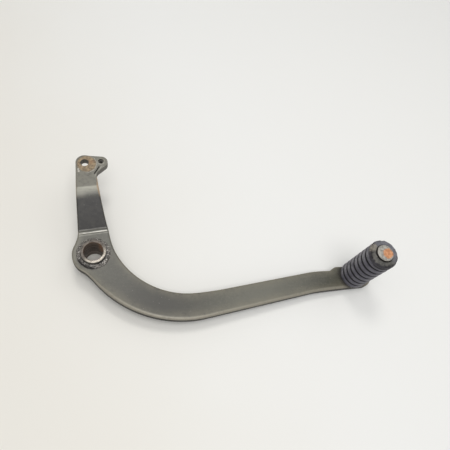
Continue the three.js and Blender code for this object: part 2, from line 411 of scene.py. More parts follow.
OUTLINE_SPACING = 0.7
BELLY_ROLL = 3.2  # width of the rolled edge where the blank was sheared hardest
EDGE_ROLL = 1.3
HEAD_ROLL = 0.6
ROLL_DROP = 0.27  # the rolled edge falls by this share of its width
ROLL_CURVE = 2.2
ROLL_STEPS = (1.0, 0.85, 0.7, 0.56, 0.43, 0.31, 0.2, 0.1, 0.0)
WALL_LEVELS = (0.22, 0.45, 0.7, 0.92)
WALL_BULGE = 0.08
BACK_EDGE = ((0.28, 0.02), (0.08, 0.1), (0.0, 0.3))  # height above the back, inset
HOLE_STEPS = 64
HOLE_WEAR = 0.12  # radius of a hole's rounded mouth
MOUTH_DEPTH = 1.5  # a stepped hole is wide down to this depth
SLIT_RINGS = ((-0.05, 0.0), (0.1, 0.25), (0.15, 0.9), (0.2, 1.5))  # inset, depth
SLIT_MARK = 20.0  # rim value inside the ear's slit, so that painted shade can darken it


class PlateMesh:
    """Collects the plate's points with their heights and distances from an edge."""

    def __init__(self):
        self.vertices = []
        self.rims = []
        self.faces = []

    def ring(self, points, height, rim):
        """Adds a ring of points: height(x, y, i) gives each point's height."""
        first = len(self.vertices)
        for i, p in enumerate(points):
            self.vertices.append((p.x, p.y, height(p.x, p.y, i)))
            self.rims.append(rim)
        return list(range(first, len(self.vertices)))

    def bridge(self, rings):
        """Joins each ring to the next with a strip of faces."""
        for upper, lower in zip(rings, rings[1:]):
            for (a, b), (c, d) in zip(pairs(upper), pairs(lower)):
                self.faces.append((a, b, d, c))

    def fill(self, outer, holes, height):
        """Fills between an outer ring and holes with even triangles at height(x, y)."""
        rings = [outer, *holes]
        loops = [[Vector(self.vertices[v][:2]) for v in ring] for ring in rings]
        grid = grid_points()
        grid = grid[between(grid, loops)]
        grid = grid[distance_to(grid, loops) > 0.55]
        points = [p for loop in loops for p in loop] + [Vector(p) for p in grid]
        edges = []
        first = 0
        for loop in loops:
            count = len(loop)
            edges += [(first + i, first + (i + 1) % count) for i in range(count)]
            first += count
        found = geometry.delaunay_2d_cdt(points, edges, [], 0, 1e-6)
        placed, triangles = found[0], found[2]
        centres = np.array([sum((placed[v] for v in t), Vector((0, 0))) / 3 for t in triangles])
        ring_ids = [v for ring in rings for v in ring]
        ids = {}
        for new, sources in enumerate(found[3]):
            known = [ring_ids[s] for s in sources if s < len(ring_ids)]
            if known:
                ids[new] = known[0]
        fresh = [new for new in range(len(placed)) if new not in ids]
        reach = distance_to(np.array([placed[new] for new in fresh]), loops)
        base_rim = self.rims[outer[0]]
        for new, far in zip(fresh, reach):
            ids[new] = len(self.vertices)
            x, y = placed[new]
            self.vertices.append((x, y, height(x, y)))
            self.rims.append(base_rim + far)
        for wanted, triangle in zip(between(centres, loops), triangles):
            if wanted:
                self.faces.append(tuple(ids[v] for v in triangle))


def circle(centre, radius):
    points = []
    for i in range(HOLE_STEPS):
        angle = TURN * i / HOLE_STEPS
        points.append(centre + radius * Vector((math.cos(angle), math.sin(angle))))
    return points


def roll_width(point, normal):
    """The rolled edge is widest on the arm's belly, where the inward normal looks along +Y,
    and narrow round the head."""
    belly = smooth_step(0.1, 0.85, normal.y) * (1 - smooth_step(5, 20, point.y))
    belly *= smooth_step(-6, 16, point.x)
    width = EDGE_ROLL + (BELLY_ROLL - EDGE_ROLL) * belly
    return width + (HEAD_ROLL - width) * smooth_step(44, 54, point.y)


def raised(surface, amount):
    """The height of a ring's points: a surface's own height plus a fixed amount."""

    def height(x, y, i):
        return surface(x, y) + amount

    return height


def outline_rings(plate, outline):
    """Rings from the inside of the rolled edge, down the wall, to the edge of the back."""
    normals = inward_normals(outline)
    widths = [roll_width(p, n) for p, n in zip(outline, normals)]
    rings = []
    for step in ROLL_STEPS:
        points = [p + n * (w * step) for p, n, w in zip(outline, normals, widths)]
        rolls = [ROLL_DROP * w * (1 - step) ** ROLL_CURVE for w in widths]

        def rolled(x, y, i, rolls=rolls):
            return top_height(x, y) - rolls[i]

        rings.append(plate.ring(points, rolled, BELLY_ROLL * step))
    top_edge = rings[-1]
    for level in WALL_LEVELS:

        def on_wall(x, y, i, level=level):
            top = plate.vertices[top_edge[i]][2]
            return top + (back_height(x, y) - top) * level

        bulge = WALL_BULGE * math.sin(math.pi * level)
        points = [p - n * bulge for p, n in zip(outline, normals)]
        rings.append(plate.ring(points, on_wall, 0.0))
    for rise, inset in BACK_EDGE:
        points = [p + n * inset for p, n in zip(outline, normals)]
        rings.append(plate.ring(points, raised(back_height, rise), inset))
    plate.bridge(rings)
    return rings


def hole_rings(plate, centre, radius, narrowest):
    """Rings down a hole, from its worn mouth to its edge on the back."""
    wear = HOLE_WEAR
    ladder = [(wear, 0.0), (wear * 0.55, 0.06), (wear * 0.22, 0.16), (0.0, wear)]
    narrowing = radius - narrowest
    if narrowing > 0.1:
        ladder += [(0.0, MOUTH_DEPTH), (-narrowing, MOUTH_DEPTH + 0.1)]
    rings = []
    for inset, depth in ladder:
        points = circle(centre, radius + inset)
        rings.append(plate.ring(points, raised(top_height, -depth), max(inset, 0)))
    for inset, rise in ((0.0, 0.25), (0.25, 0.0)):
        points = circle(centre, radius - narrowing + inset)
        rings.append(plate.ring(points, raised(back_height, rise), inset))
    plate.bridge(rings)
    return rings


def slit_rings(plate, corners):
    """Rings down the ear's slit, which ends in a flat floor."""
    corners = anticlockwise(corners)
    rings = []
    for inset, depth in SLIT_RINGS:
        points = rounded_slot(corners, inset)
        rings.append(plate.ring(points, raised(top_height, -depth), SLIT_MARK))
    plate.bridge(rings)
    plate.faces.append(tuple(rings[-1]))
    return rings


def lever_plate(material):
    loops = cad_loops("lever_plate")
    loops.sort(key=loop_length, reverse=True)
    outline = anticlockwise(loops[0])
    holes = round_holes(loops[1:])
    slits = [p for p in loops[1:] if not round_holes([p])]
    plate = PlateMesh()
    rings = outline_rings(plate, smoothed(outline, OUTLINE_SPACING))
    top_holes = []
    back_holes = []
    for centre, radius, narrowest in holes:
        down = hole_rings(plate, centre, radius, narrowest)
        top_holes.append(down[0])
        back_holes.append(down[-1])
    for slit in slits[:1]:  # its mouth; a second loop runs round its floor
        top_holes.append(slit_rings(plate, slit)[0])
    plate.fill(rings[0], top_holes, top_height)
    plate.fill(rings[-1], back_holes, back_height)
    shape = (plate.vertices, plate.faces)
    name = "lever_plate_painted"
    piece = make_piece(name, shape, material, "lever_plate", plate.rims)
    piece.data.set_sharp_from_angle(angle=math.radians(42))


# ---- Pivot tube ----


def pivot_tube(material):
    inner, outer, length = BORE_RADIUS, TUBE_RADIUS, TUBE_LENGTH
    section = arc(inner + 0.45, 0.45, 0.45, 180, 270, 5)
    section += arc(outer - 0.35, 0.35, 0.35, 270, 360, 5)
    section += arc(outer - 0.55, length - 0.55, 0.55, 0, 90, 6)
    section += arc(inner + 0.5, length - 0.5, 0.5, 90, 180, 6)
    rows = fine_section(section, 0.8)

    def worn(radius, height, angle):
        x, y = polar(radius, angle)
        end = smooth_step(length - 2.0, length, height)
        dip = end * (0.1 * wave(x, y, 0, 3.2, 2.2) + 0.12 * wave(x, y, 0, 9, 6.1) - 0.1)
        rough = 0.03 * wave(x, y, height, 1.6, 5.5)
        return radius + rough, height + dip

    shape = turned(rows, 128, PIVOT, worn)
    make_piece("pivot_tube_worn", shape, material, "pivot_tube")


# ---- Welds ----

WELD_SPREAD = 1.0  # the bead's thin toe runs out past its CAD ring by this much


def weld_bead(name, node, material, foot, up, ripples, seed):
    """A hand-run fillet bead round the pivot tube: crescent ripples on an uneven ring."""
    low, high = cad_box_mm(node)
    reach = high.x - TUBE_RADIUS + WELD_SPREAD
    height = high.z - low.z
    inner = TUBE_RADIUS - 0.05
    across = 13
    section = [(inner, -0.3)]
    for i in range(across):
        angle = math.pi / 2 * i / (across - 1)
        section.append((inner + reach * math.cos(angle), height * math.sin(angle) ** 1.15))
    rows = fine_section(section, 0.5)

    def rippled(radius, level, angle):
        out = (radius - inner) / reach
        rise = max(level, 0) / height
        x, y = polar(12, angle)
        phase = ripples * angle / TURN - 0.42 * (1 - out)
        scale = abs((phase % 1.0) - 0.35)
        lumps = 0.55 * wave(x, y, 0, 5.5, seed) + 0.3 * wave(x, y, 0, 2.2, seed + 3)
        grow = 0.86 + 0.22 * lumps - 0.16 * scale
        pits = 0.16 * wave(*polar(radius, angle), level, 0.9, seed)
        r = inner + (radius - inner) * grow + pits * out
        z = level * (0.8 + 0.22 * lumps - 0.22 * scale) + pits * rise
        return r, foot + up * z

    make_piece(name, turned(rows, 288, PIVOT, rippled), material, node)


def peg_weld(material):
    """The plug weld that closes the peg's tail, a low dome with a spiral ripple."""
    low, high = cad_box_mm("peg_weld")
    radius = (high.x - low.x) / 2
    height = high.z - low.z
    rings = 22
    rows = [(0, low.z + 0.05)]
    rows += [(radius * i / rings, high.z) for i in range(1, rings + 1)]
    rows.append((0, high.z + GAP))

    def swirled(reach, level, angle):
        share = reach / radius
        x, y = polar(7, angle)
        swirl = 0.5 + 0.5 * math.sin(TURN * 3.2 * share + angle)
        lump = wave(x * share, y * share, 0, 3.0, 9.4)
        drop = height * math.sqrt(max(1 - share**2, 0))
        drop *= 0.93 + 0.06 * lump - 0.12 * swirl * share
        return reach * (0.97 + 0.03 * wave(x, y, 0, 4, 3.3)), level - drop

    shape = capped_turn(rows, 72, PEG, swirled)
    make_piece("peg_weld_bead", shape, material, "peg_weld")


# ---- Foot peg ----

PIN_TAIL = 4.0  # radius through the plate
PIN_SHANK = 5.5
PIN_HEAD_HEIGHT = 2.6


def peg_pin(material):
    low, high = PIN_LOW.z, PIN_HIGH.z
    head_foot = high - PIN_HEAD_HEIGHT
    bevel = 0.5
    rows = [(0, low), (PIN_TAIL - 0.1, low), (PIN_TAIL, low + 0.1), (PIN_TAIL, PLATE_TOP)]
    rows += [(PIN_SHANK, PLATE_TOP + GAP), (PIN_SHANK, head_foot)]
    rows += [(PIN_HEAD_RADIUS - 0.2, head_foot), (PIN_HEAD_RADIUS, head_foot + 0.2)]
    rows += arc(PIN_HEAD_RADIUS - bevel, high - bevel, bevel, 0, 84, 6)
    for k in range(1, 12):
        share = 1 - k / 12
        rows.append(((PIN_HEAD_RADIUS - bevel) * share, high - 0.05 - 0.12 * share**4))
    rows.append((0, high - 0.05))

    def hammered(radius, height, angle):
        x, y = polar(radius, angle)
        face = smooth_step(high - 1.2, high - 0.3, height)
        dents = 0.12 * wave(x, y, 0, 2.6, 3.9) + 0.05 * wave(x, y, 0, 0.9, 1.9) - 0.1
        edge = 0.1 * wave(x, y, 0, 3.5, 7.7) - 0.08
        return radius + edge * face, height + dents * face

    shape = capped_turn(rows, 96, PEG, hammered)
    make_piece("peg_pin_worn", shape, material, "peg_pin")


GROOVES = 7
FIRST_GROOVE = 5.0  # height of the first groove above the plate
GROOVE_PITCH = 6.0
GROOVE_WIDTH = 2.3
GROOVE_DEPTH = 1.6
RIB_FALL = 0.55  # a rib's surface falls by this much from its crest to a groove
END_ROUND = 2.6  # radius of the sleeve's rounded end


def rib_drop(height):
    """How far the sleeve's surface lies inside its full radius, at a height on the peg."""
    near = min(max(round((height - FIRST_GROOVE) / GROOVE_PITCH), 0), GROOVES - 1)
    away = abs(height - (FIRST_GROOVE + GROOVE_PITCH * near))
    shallow = smooth_step(GROOVE_WIDTH * 0.25, GROOVE_WIDTH * 0.62, away)
    groove = (GROOVE_DEPTH - RIB_FALL) * (1 - shallow)
    return groove + RIB_FALL * max(0.0, 1 - away / (GROOVE_PITCH / 2)) ** 1.6


def peg_sleeve(material):
    foot = PLATE_TOP + 0.02
    top = SLEEVE_HIGH.z
    bore = PIN_SHANK + 0.1
    recess = PIN_HEAD_RADIUS + 0.2
    recess_foot = PIN_HIGH.z - PIN_HEAD_HEIGHT - GAP
    section = [(bore, foot), (SLEEVE_RADIUS - 0.3, foot)]
    climb = int((top - END_ROUND - foot) / 0.26)
    for k in range(1, climb + 1):
        z = foot + (top - END_ROUND - foot) * k / climb
        tuck = 0.3 * (1 - smooth_step(0, 1.6, z - foot)) ** 2
        section.append((SLEEVE_RADIUS - rib_drop(z - PLATE_TOP) - tuck, z))
    section += arc(SLEEVE_RADIUS - END_ROUND, top - END_ROUND, END_ROUND, 6, 90, 14)
    for k in range(1, 4):
        share = k / 4
        reach = SLEEVE_RADIUS - END_ROUND
        section.append((reach + (recess + 0.35 - reach) * share, top - 0.15 * share**2))
    section += [(recess + 0.2, top - 0.25), (recess, top - 0.7)]
    section += [(recess, recess_foot), (bore, recess_foot)]

    def worn(radius, height, angle):
        x, y = polar(radius, angle)
        out = smooth_step(9.0, 10.0, radius)
        end = smooth_step(top - 4.5, top - 1.0, height)
        skin = smooth_step(recess + 0.5, recess + 1.5, radius)
        wobble = 0.1 * wave(x, y, height, 12, 2.0) + 0.05 * wave(x, y, height, 3, 6.0) - 0.1
        tear_side = smooth_step(0.2, 0.9, math.cos(angle - math.radians(150)))
        tear = max(0.0, wave(x, y, height, 2.1, 4.4) + 0.05) * tear_side * end
        scuff = (0.22 * wave(x, y, height, 1.7, 9.1) + 0.12 * wave(x, y, height, 0.8, 3.1)) * end
        waist = 0.55 * math.exp(-(((height - top + 3.9) / 0.9) ** 2)) * out
        r = radius + wobble * out + (scuff - 0.1) * skin - 1.1 * tear * skin - waist
        z = height + (0.7 * scuff - 0.22) * skin * end - 0.8 * tear * skin
        return r, z

    shape = turned(section, 200, PEG, worn)
    make_piece("peg_sleeve_ribbed", shape, material, "peg_sleeve")


# ---- Material nodes ----


class Shader:
    """A short way to write one material's nodes. Values may be numbers or sockets."""

    def __init__(self, name):
        self.material = bpy.data.materials.new(name)
        self.material.use_nodes = True
        self.tree = self.material.node_tree
        self.shader = self.tree.nodes["Principled BSDF"]
        self.place = self.node("ShaderNodeTexCoord", {}, "Object")
        self.colour = None

    def put(self, socket, value):
        if isinstance(value, bpy.types.NodeSocket):
            self.tree.links.new(value, socket)
        elif socket.type == "RGBA":
            socket.default_value = (*value, 1)
        else:
            socket.default_value = value

    def node(self, kind, inputs, output=0, **settings):
        """Makes a node, fills its inputs and gives one of its outputs."""
        made = self.tree.nodes.new(kind)
        for key, value in settings.items():
            setattr(made, key, value)
        for key, value in inputs.items():
            self.put(made.inputs[key], value)
        return made.outputs[output]

    def math(self, operation, a, b=0.0):
        return self.node("ShaderNodeMath", {0: a, 1: b}, operation=operation)

    def add(self, a, b):
        return self.math("ADD", a, b)

    def less(self, a, b):
        return self.math("SUBTRACT", a, b)

    def most(self, a, b):
        return self.math("MAXIMUM", a, b)

    def all_of(self, *values):
        product = values[0]
        for value in values[1:]:
            product = self.math("MULTIPLY", product, value)
        return product

    def vector(self, operation, a, b=(0, 0, 0), output="Vector"):
        return self.node("ShaderNodeVectorMath", {0: a, 1: b}, output, operation=operation)

    def noise(self, size, detail=3.0, rough=0.55, stretch=(1, 1, 1), shift=0.0):
        """Noise with features about size mm across, from 0 to 1."""
        offset = (shift, shift * 0.7, -shift)
        scale = tuple(1 / (size * MM * s) for s in stretch)
        inputs = {"Vector": self.place, "Location": offset, "Scale": scale}
        spot = self.node("ShaderNodeMapping", inputs)
        inputs = {"Vector": spot, "Scale": 1.0, "Detail": detail, "Roughness": rough}
        return self.node("ShaderNodeTexNoise", inputs, "Fac")

    def step(self, value, low, high):
        """0 below low, 1 above high, smooth between. low above high turns it round."""
        inputs = {"Value": value, "From Min": min(low, high), "From Max": max(low, high)}
        inputs |= {"To Min": float(low > high), "To Max": float(low <= high)}
        return self.node("ShaderNodeMapRange", inputs, interpolation_type="SMOOTHSTEP")

    def line(self, value, centre, width):
        """A soft line, 1 where value is centre and 0 further off than width."""
        return self.step(self.math("ABSOLUTE", self.less(value, centre)), width, 0.0)

    def mix(self, share, a, b):
        return self.node("ShaderNodeMix", {0: share, 6: a, 7: b}, 2, data_type="RGBA")

    def blend(self, share, a, b):
        return self.node("ShaderNodeMix", {0: share, 2: a, 3: b}, data_type="FLOAT")

    def paint(self, tint, *shares):
        """Lays a tint over the colour so far, where all its shares are above 0."""
        self.colour = self.mix(self.all_of(*shares), self.colour, tint)

    def reach(self, centre):
        """Distance in mm from a point in the frame, measured in X and Y only."""
        away = self.vector("SUBTRACT", self.place, tuple(c * MM for c in centre))
        flat = self.vector("MULTIPLY", away, (1 / MM, 1 / MM, 0))
        return self.vector("LENGTH", flat, output="Value")

    def ragged_reach(self, centre, noise, amount):
        """Distance from a point plus noise, for a patch whose edge wanders."""
        return self.add(self.reach(centre), self.all_of(noise, amount))

    def along(self, direction):
        """Distance in mm from the frame's origin along a direction."""
        scaled = tuple(c / MM for c in direction)
        return self.vector("DOT_PRODUCT", self.place, scaled, "Value")

    def past(self, direction, centre):
        """Distance in mm past a point along a direction."""
        return self.less(self.along(direction), Vector(direction).dot(Vector(centre)))

    def facing(self, direction):
        """How far the surface faces along a direction, from -1 to 1."""
        normal = self.node("ShaderNodeNewGeometry", {}, "Normal")
        return self.vector("DOT_PRODUCT", normal, direction, "Value")

    def dark_arc(self, noise):
        """A near-black arc round the outside of the pivot's weld, on its lower side."""
        low_side = self.step(self.along(DARK_ARC_SIDE), 8.2, 10.4)
        dark_band = self.line(self.ragged_reach(PIVOT, noise, 2.0), DARK_ARC_RADIUS, 2.0)
        return self.all_of(dark_band, low_side, 0.97)

    def bump(self, height, strength, distance_mm, below=None):
        inputs = {"Strength": strength, "Distance": distance_mm * MM, "Height": height}
        if below is not None:
            inputs["Normal"] = below
        return self.node("ShaderNodeBump", inputs)

    def finish(self, roughness, metallic, normal, specular=0.5):
        inputs = {"Base Color": self.colour, "Roughness": roughness, "Metallic": metallic}
        inputs |= {"Normal": normal, "Specular IOR Level": specular}
        for key, value in inputs.items():
            self.put(self.shader.inputs[key], value)
        return self.material


# ---- Materials ----

LINK_RING = (-12.4, 66.2, HEAD_TOP)
LINK_RING_RADIUS = 7.0
RING_RUST = (-9.4, 68.0, HEAD_TOP)
CHIP = (-17.7, 60.8, HEAD_TOP)
CHIP_TAIL = (-17.3, 59.2, HEAD_TOP)
NECK_RUST = (-1.6, 48.5, HEAD_TOP)
EAR_HOLE = (-2.3, 69.9, HEAD_TOP)
EAR_SLIT = (-4.3, 61.7, HEAD_TOP)
SLIT_SIDE = (0.927, -0.375, 0.0)
PAD_LIP = (207.0, -12.5, PLATE_TOP)
SLEEVE_TEAR = (PEG.x - 8.5, PEG.y + 4.5, 0.0)
PIN_RUST = (PEG.x + 2.1, PEG.y - 0.2, 0.0)
SLEEVE_HIGHLIGHT_SIDE = (-0.8, 0.6, 0.0)  # directions of the sleeve's painted highlight, of rubbing, of the sleeve's painted shade, and of scuffing
RUBBED_SIDE = (0.6, -0.8, 0.0)
SLEEVE_SHADE_SIDE = (0.5, -0.86, 0.0)
SCUFFED_SIDE = (-0.7, -0.72, 0.0)
PIN_HIGHLIGHT_SIDE = (0.8, 0.6, 0.0)
DARK_ARC_SIDE = (-0.42, -0.91, 0.0)  # the side of the pivot where a near-black arc lies round the weld
DARK_ARC_RADIUS = 12.4
WELD_TOE = 12.6  # radius where the weld's thin toe meets the plate
TUBE_RIM = (BORE_RADIUS + TUBE_RADIUS) / 2 + 0.05  # radius of the rim between its lips


class PlateShader(Shader):
    """A shader with the values that the plate's paint, wear and rust share: s and x run
    in mm along the neck and the arm, and rim is the distance from an edge."""

    def __init__(self, name):
        super().__init__(name)
        self.cloud = self.noise(22, 3, 0.6, shift=3.1)
        self.speckle = self.noise(0.7, 3, 0.7, shift=5.3)
        self.mottle = self.noise(3.4, 4, 0.65, shift=9.4)
        self.patchy = self.noise(1.7, 4, 0.6, shift=7.9)
        self.rim = self.node("ShaderNodeAttribute", {}, "Fac", attribute_name="rim_mm")
        self.s = self.along((NECK.x, NECK.y, 0))
        self.x = self.along((1, 0, 0))
        self.up = self.step(self.facing((0, 0, 1)), 0.25, 0.6)
        self.side = self.step(self.facing((0, 0, 1)), 0.6, 0.3)


def paint_coat(m):
    """The old coat itself: warm near-black, speckled, blotched and faintly brushed."""
    brushed = m.noise(1.3, 2, 0.5, stretch=(9, 0.7, 1), shift=1.7)
    blotch = m.noise(1.8, 3, 0.6, shift=15.0)
    m.colour = m.mix(m.step(m.cloud, 0.3, 0.7), (0.06, 0.059, 0.045), (0.08, 0.077, 0.059))
    m.paint((0.16, 0.155, 0.125), m.step(m.speckle, 0.5, 0.75), 0.5)
    m.paint((0.16, 0.152, 0.12), m.step(blotch, 0.5, 0.75), 0.3)
    m.paint((0.035, 0.033, 0.026), m.step(blotch, 0.45, 0.25), 0.35)
    m.paint((0.15, 0.145, 0.12), m.step(brushed, 0.5, 0.85), 0.25)


def paint_tones(m):
    """Paler at the head and on the lobe's left: thinner paint there, and painted sheen. Along
    the arm it is dark, then pale, as painted shade and painted sheen, with a warm haze
    that fades in from the belly's edge."""
    thin = m.step(m.mottle, 0.2, 0.55)
    # painted sheen mixed with thin paint: paler at the head and on the lobe's left
    handled_and_sheen = m.most(m.step(m.s, 40.0, 48.0), m.step(m.x, -7.0, -13.0))
    m.paint((0.17, 0.162, 0.13), handled_and_sheen, thin, m.up, 0.85)
    # painted shade near x 50 and painted sheen near x 128 along the arm
    m.paint((0.035, 0.033, 0.027), m.line(m.x, 50.0, 52.0), 0.85)
    m.paint((0.16, 0.157, 0.128), m.line(m.x, 128.0, 60.0), 0.65)
    outer_half = m.step(m.less(m.rim, m.all_of(m.cloud, 6.0)), 6.0, -4.0)
    m.paint((0.21, 0.19, 0.135), outer_half, m.step(m.s, 2.0, -14.0), thin, m.up, 0.55)


def joggle_shade_and_wear(m):
    """Painted shade darkens the joggle's slope, and both bends are pale as rubbed paint and
    painted highlight: a broad pale band above, thin pale lines below. Returns how far the
    bends are rubbed and highlit."""
    slope = m.all_of(m.step(m.s, 17.6, 19.5), m.step(m.s, 43.0, 38.5))
    # painted shade on the joggle's slope
    slope_shade = m.mix(m.step(m.mottle, 0.35, 0.7), (0.01, 0.009, 0.009), (0.026, 0.023, 0.02))
    m.paint(slope_shade, slope, 0.95)
    flecks = m.step(m.noise(1.0, 3, 0.6, shift=14.0), 0.66, 0.74)
    m.paint((0.2, 0.19, 0.17), slope, flecks, 0.5)
    streaks = m.noise(2.2, 3, 0.6, stretch=(4, 0.6, 1), shift=6.9)
    # painted highlight with rubbed paint on the upper bend's crest
    band = m.all_of(m.step(m.s, 41.0, 46.8), m.step(m.s, 48.6, 47.2), m.step(streaks, 0.1, 0.5))
    # painted highlight with rubbed paint along the lower bend and its crease
    rubbed_and_highlit_lines = m.most(m.line(m.s, 17.0, 0.75), m.all_of(m.line(m.s, 15.3, 0.9), 0.3))
    rubbed_and_highlit_lines = m.most(rubbed_and_highlit_lines, m.all_of(m.line(m.s, 19.1, 0.7), 0.35))
    rubbed_and_highlit_lines = m.all_of(rubbed_and_highlit_lines, m.step(streaks, 0.25, 0.6), m.step(m.rim, 1.0, 3.0))
    m.paint((0.36, 0.355, 0.305), band, 0.65)
    m.paint((0.6, 0.585, 0.53), rubbed_and_highlit_lines)
    return m.most(m.all_of(band, 0.5), m.all_of(rubbed_and_highlit_lines, 0.7))


def edge_wear_and_wall_shade(m):
    """The paint thins to warm grey metal near the outline, most along the belly, where the
    rolled edge that faces -Y also carries a painted highlight. Side walls are darker and
    browner as painted shade, except the head's, which are pale as a painted reflection.
    Returns how bare and highlit the edge is."""
    worn_noise = m.noise(2.6, 4, 0.6, shift=2.2)
    ragged = m.add(m.rim, m.all_of(worn_noise, 1.6))
    edge = m.all_of(m.step(ragged, 2.2, 0.7), m.up, 0.5)
    # painted highlight mixed with wear on the belly's rolled edge, where it faces -Y
    belly = m.all_of(m.step(m.facing((0, -1, 0)), 0.02, 0.2), m.step(m.rim, 3.0, 1.2), m.up)
    belly = m.all_of(belly, m.step(worn_noise, 0.15, 0.5), m.step(m.s, 6.0, -14.0), 0.6)
    edge = m.most(edge, belly)
    m.paint((0.34, 0.315, 0.26), edge)
    # painted shade on the side walls, and a painted reflection on the head's walls
    wall = m.mix(m.step(m.s, 55.0, 58.0), (0.022, 0.018, 0.014), (0.17, 0.16, 0.14))
    m.paint(wall, m.side, 0.85)
    return edge


def plate_rust(m):
    """A bare, rusted ring that the linkage's shoulder has worn round its hole, and rust
    that creeps in from the neck's right edge. Returns the ring and the neck's stripe."""
    past_ring = m.less(m.ragged_reach(LINK_RING, m.patchy, 2.6), LINK_RING_RADIUS)
    ring = m.all_of(m.step(past_ring, 1.8, 0.6), m.up, m.step(m.s, 54.0, 56.0))
    bare = m.mix(m.step(m.patchy, 0.35, 0.65), (0.15, 0.105, 0.06), (0.37, 0.275, 0.165))
    rust_reach = m.ragged_reach(RING_RUST, m.noise(2.0, 3, 0.6, shift=4.7), 3.0)
    bare = m.mix(m.all_of(m.step(rust_reach, 4.6, 2.4), 0.5), bare, (0.36, 0.2, 0.095))
    m.paint(bare, ring, 0.9)
    outline = m.line(past_ring, 1.5, 0.5)
    m.paint((0.46, 0.43, 0.37), outline, m.step(m.x, -14.0, -8.0), m.up, 0.6)
    neck = m.add(m.all_of(m.reach(NECK_RUST), 0.2), m.rim)
    neck = m.add(neck, m.all_of(m.patchy, 1.4))
    stripe = m.all_of(m.step(neck, 5.2, 3.8), m.step(m.s, 38.0, 43.0), m.step(m.s, 55.5, 53.0))
    m.paint((0.33, 0.225, 0.13), stripe, 0.7)
    return ring, stripe


def paint_chips(m):
    """Small chips down to primer, and one larger flake on the head."""
    dots = m.noise(1.1, 2, 0.5, shift=11.0)
    sparse = m.noise(14, 2, 0.5, shift=12.0)
    chips = m.all_of(m.step(dots, 0.74, 0.78), m.step(sparse, 0.5, 0.6), 0.8)
    reach = m.math("MINIMUM", m.reach(CHIP), m.reach(CHIP_TAIL))
    reach = m.add(reach, m.all_of(m.patchy, 1.8))
    chips = m.most(chips, m.all_of(m.step(reach, 2.0, 1.3), m.up, 0.85))
    m.paint((0.5, 0.47, 0.41), chips)


def ear_marks(m):
    """Painted shade in the ear's hole and slit, and painted highlights beside them."""
    highlight_tint = (0.34, 0.33, 0.29)
    # painted shade: the ear's hole and slit are darkened
    m.paint((0.1, 0.096, 0.085), m.step(m.reach(EAR_HOLE), 2.15, 1.9), 0.93)
    m.paint((0.1, 0.094, 0.082), m.step(m.rim, SLIT_MARK - 3.0, SLIT_MARK - 0.5), 0.93)
    # painted highlight on the lit edge beside the slit
    beside = m.line(m.past(SLIT_SIDE, EAR_SLIT), 1.3, 0.7)
    m.paint(highlight_tint, beside, m.step(m.reach(EAR_SLIT), 6.5, 4.0), m.up, 0.6)
    # painted highlight on the rim below the ear's hole
    below = m.step(m.along((0, 1, 0)), 70.5, 68.0)
    m.paint(highlight_tint, m.line(m.reach(EAR_HOLE), 2.7, 0.6), below, m.up, 0.5)


def foot_marks(m):
    """Painted shade round the peg's foot, and a pale lip on the pad's edge below it, painted as
    rubbed paint and the table's reflection.
    """
    # painted shade where the rubber meets the plate
    foot_shade = m.step(m.ragged_reach(PEG, m.mottle, 4.0), 16.5, 13.0)
    m.paint((0.028, 0.025, 0.023), foot_shade, 0.7)
    # rubbed paint with a painted reflection on the pad's lower edge
    lip = m.step(m.ragged_reach(PAD_LIP, m.patchy, 3.0), 7.5, 5.0)
    m.paint((0.42, 0.4, 0.36), lip, m.step(m.rim, 2.6, 1.2), m.up, 0.8)


def plate_paint():
    m = PlateShader("faded_black_paint")
    paint_coat(m)
    paint_tones(m)
    rubbed = joggle_shade_and_wear(m)
    edge = edge_wear_and_wall_shade(m)
    ring, stripe = plate_rust(m)
    paint_chips(m)
    ear_marks(m)
    foot_marks(m)
    m.paint((0.016, 0.014, 0.013), m.dark_arc(m.patchy))

    roughness = m.blend(m.step(m.speckle, 0.3, 0.8), 0.34, 0.44)
    roughness = m.blend(ring, roughness, 0.62)
    roughness = m.blend(m.side, roughness, 0.7)
    metallic = m.all_of(m.most(edge, rubbed), 0.4)
    peel = m.bump(m.noise(0.9, 3, 0.6, shift=6.6), 0.35, 0.05)
    dents = m.bump(m.noise(5.0, 2, 0.5, shift=8.8), 0.35, 0.12, peel)
    pits = m.bump(m.all_of(m.most(ring, stripe), m.patchy), 0.6, 0.25, dents)
    return m.finish(roughness, metallic, pits, specular=0.55)


def weld_paint():
    m = Shader("painted_weld")
    mottle = m.noise(1.6, 4, 0.65, shift=1.1)
    grain = m.noise(1.15, 3, 0.75, shift=2.9)
    m.colour = m.mix(m.step(mottle, 0.36, 0.6), (0.035, 0.031, 0.028), (0.17, 0.157, 0.14))
    m.paint((0.6, 0.57, 0.53), m.step(grain, 0.55, 0.6), 0.9)
    radius = m.reach(PIVOT)
    m.paint((0.5, 0.48, 0.45), m.line(radius, WELD_TOE, 0.8), m.step(grain, 0.35, 0.6), 0.6)
    m.paint((0.014, 0.012, 0.011), m.dark_arc(mottle))
    # painted shade where the bead tucks against the tube
    root_shade = m.step(radius, TUBE_RADIUS + 0.6, TUBE_RADIUS + 0.1)
    m.paint((0.012, 0.011, 0.01), root_shade, 0.75)
    roughness = m.blend(m.step(mottle, 0.3, 0.7), 0.36, 0.55)
    bump = m.bump(grain, 0.6, 0.12, m.bump(mottle, 0.7, 0.4))
    return m.finish(roughness, 0.15, bump, specular=0.6)


